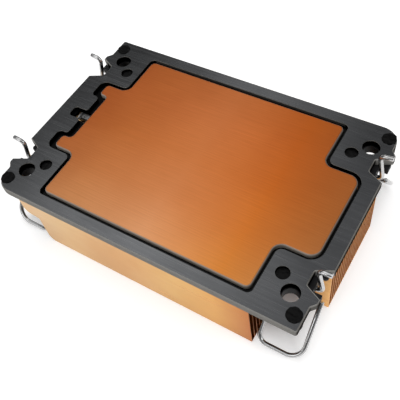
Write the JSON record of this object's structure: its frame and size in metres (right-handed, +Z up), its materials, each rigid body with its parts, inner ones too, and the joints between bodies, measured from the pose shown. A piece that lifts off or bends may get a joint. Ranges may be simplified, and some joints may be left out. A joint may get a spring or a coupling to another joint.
{
  "type": "passive server processor heatsink",
  "caption": "Low passive heatsink with a copper vapour chamber, folded fins, a notched black mounting frame and anti-tilt wires that swing at its corners.",
  "frame": {"origin": "centre of the footprint, on the plane that the fins' free edges rest on", "axes": "+X along the fins and the long side of the frame, +Y to the back, +Z up through the contact face"},
  "size_m": [0.1148, 0.0764, 0.0309],
  "materials": {
    "frame_black": "satin black coated metal",
    "chamber_copper": "bare copper, finely lapped along its length",
    "fin_copper": "bare rolled copper sheet",
    "tube_tin": "tinned, crimped",
    "retainer_black": "matt black moulding",
    "wire_steel": "bright drawn spring wire"
  },
  "bodies": {
    "heatsink": {"mounting_frame": "frame_black", "vapor_chamber": "chamber_copper", "fill_tube": "tube_tin", "fin_01": "fin_copper", "fin_02": "fin_copper", "fin_03": "fin_copper", "fin_04": "fin_copper", "fin_05": "fin_copper", "fin_06": "fin_copper", "fin_07": "fin_copper", "fin_08": "fin_copper", "fin_09": "fin_copper", "fin_10": "fin_copper", "fin_11": "fin_copper", "fin_12": "fin_copper", "fin_13": "fin_copper", "fin_14": "fin_copper", "fin_15": "fin_copper", "fin_16": "fin_copper", "fin_17": "fin_copper", "fin_18": "fin_copper", "fin_19": "fin_copper", "fin_20": "fin_copper", "fin_21": "fin_copper", "fin_22": "fin_copper", "fin_23": "fin_copper", "fin_24": "fin_copper", "fin_25": "fin_copper", "fin_26": "fin_copper", "fin_27": "fin_copper", "fin_28": "fin_copper", "fin_29": "fin_copper", "fin_30": "fin_copper", "fin_31": "fin_copper", "fin_32": "fin_copper", "fin_33": "fin_copper", "fin_34": "fin_copper", "fin_35": "fin_copper", "fin_36": "fin_copper", "fin_37": "fin_copper", "fin_38": "fin_copper", "fin_39": "fin_copper", "fin_40": "fin_copper", "fin_41": "fin_copper", "fin_42": "fin_copper", "fin_43": "fin_copper", "fin_44": "fin_copper", "wire_retainer_front_right": "retainer_black", "wire_retainer_front_left": "retainer_black", "wire_retainer_back_right": "retainer_black", "wire_retainer_back_left": "retainer_black"},
    "anti_tilt_wire_front_right": {"anti_tilt_wire_front_right": "wire_steel"},
    "anti_tilt_wire_front_left": {"anti_tilt_wire_front_left": "wire_steel"},
    "anti_tilt_wire_back_right": {"anti_tilt_wire_back_right": "wire_steel"},
    "anti_tilt_wire_back_left": {"anti_tilt_wire_back_left": "wire_steel"}
  },
  "joints": [
    {"name": "wire_front_right_swing", "type": "hinge", "parent": "heatsink", "child": "anti_tilt_wire_front_right", "pos_m": [0.0485, -0.02185, 0.02], "axis": [-1, 0, 0], "range_deg": [-27.5, 22.5]},
    {"name": "wire_front_left_swing", "type": "hinge", "parent": "heatsink", "child": "anti_tilt_wire_front_left", "pos_m": [-0.0485, -0.02185, 0.02], "axis": [-1, 0, 0], "range_deg": [-24.5, 25.5]},
    {"name": "wire_back_right_swing", "type": "hinge", "parent": "heatsink", "child": "anti_tilt_wire_back_right", "pos_m": [0.0485, 0.02185, 0.02], "axis": [1, 0, 0], "range_deg": [-22, 28]},
    {"name": "wire_back_left_swing", "type": "hinge", "parent": "heatsink", "child": "anti_tilt_wire_back_left", "pos_m": [-0.0485, 0.02185, 0.02], "axis": [1, 0, 0], "range_deg": [-24.5, 25.5]}
  ]
}
